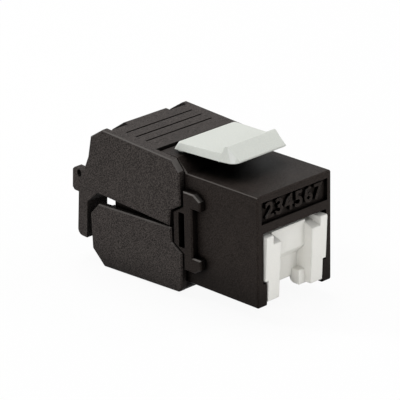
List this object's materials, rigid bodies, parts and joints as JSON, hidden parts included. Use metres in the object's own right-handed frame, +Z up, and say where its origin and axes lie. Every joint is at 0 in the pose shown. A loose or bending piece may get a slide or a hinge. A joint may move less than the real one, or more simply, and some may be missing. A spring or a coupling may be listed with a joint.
{
  "type": "keystone jack",
  "caption": "Tool-less keystone jack with dust cap in the plug port, white release latch, clip-on rear body and two hinged wire covers standing slightly open.",
  "frame": {"origin": "middle of the front face, at half the box's height", "axes": "+X across, to the right seen from behind the port; +Y from the front face to the cable; +Z up, towards the release latch"},
  "size_m": [0.0166, 0.0367, 0.0228],
  "materials": {
    "housing_plastic": "black moulded plastic, smooth satin",
    "cover_plastic": "black moulded plastic, fine spark texture",
    "latch_plastic": "white moulded plastic, satin",
    "cap_plastic": "white moulded plastic, satin",
    "insert_plastic": "black moulded plastic, satin",
    "board_laminate": "green solder mask on laminate",
    "terminal_plastic": "pale moulded plastic, satin",
    "contact_gold": "gold-plated spring wire, bright",
    "blade_metal": "tinned sheet metal, satin"
  },
  "bodies": {
    "jack": {"front_housing": "housing_plastic", "rear_body": "housing_plastic", "contact_insert": "insert_plastic", "circuit_board": "board_laminate", "upper_terminal_block": "terminal_plastic", "lower_terminal_block": "terminal_plastic", "spring_contact_1": "contact_gold", "spring_contact_2": "contact_gold", "spring_contact_3": "contact_gold", "spring_contact_4": "contact_gold", "spring_contact_5": "contact_gold", "spring_contact_6": "contact_gold", "spring_contact_7": "contact_gold", "spring_contact_8": "contact_gold", "upper_blade_1": "blade_metal", "upper_blade_2": "blade_metal", "upper_blade_3": "blade_metal", "upper_blade_4": "blade_metal", "lower_blade_1": "blade_metal", "lower_blade_2": "blade_metal", "lower_blade_3": "blade_metal", "lower_blade_4": "blade_metal"},
    "latch": {"release_latch": "latch_plastic"},
    "upper_lid": {"upper_cover": "cover_plastic"},
    "lower_lid": {"lower_cover": "cover_plastic"},
    "cap": {"dust_cap": "cap_plastic"}
  },
  "joints": [
    {"name": "latch_flex", "type": "hinge", "parent": "jack", "child": "latch", "pos_m": [0, 0.0168, 0.00895], "axis": [1, 0, 0], "range_deg": [0, 13], "stiffness_Nm_per_rad": 0.2},
    {"name": "upper_cover_hinge", "type": "hinge", "parent": "jack", "child": "upper_lid", "pos_m": [0, 0.0153, 0.00865], "axis": [1, 0, 0], "range_deg": [-3.4, 86.6]},
    {"name": "lower_cover_hinge", "type": "hinge", "parent": "jack", "child": "lower_lid", "pos_m": [0, 0.0153, -0.0083], "axis": [-1, 0, 0], "range_deg": [-2.1, 87.9]},
    {"name": "dust_cap_pull", "type": "slide", "parent": "jack", "child": "cap", "axis": [0, -1, 0], "range_m": [0, 0.03]}
  ]
}
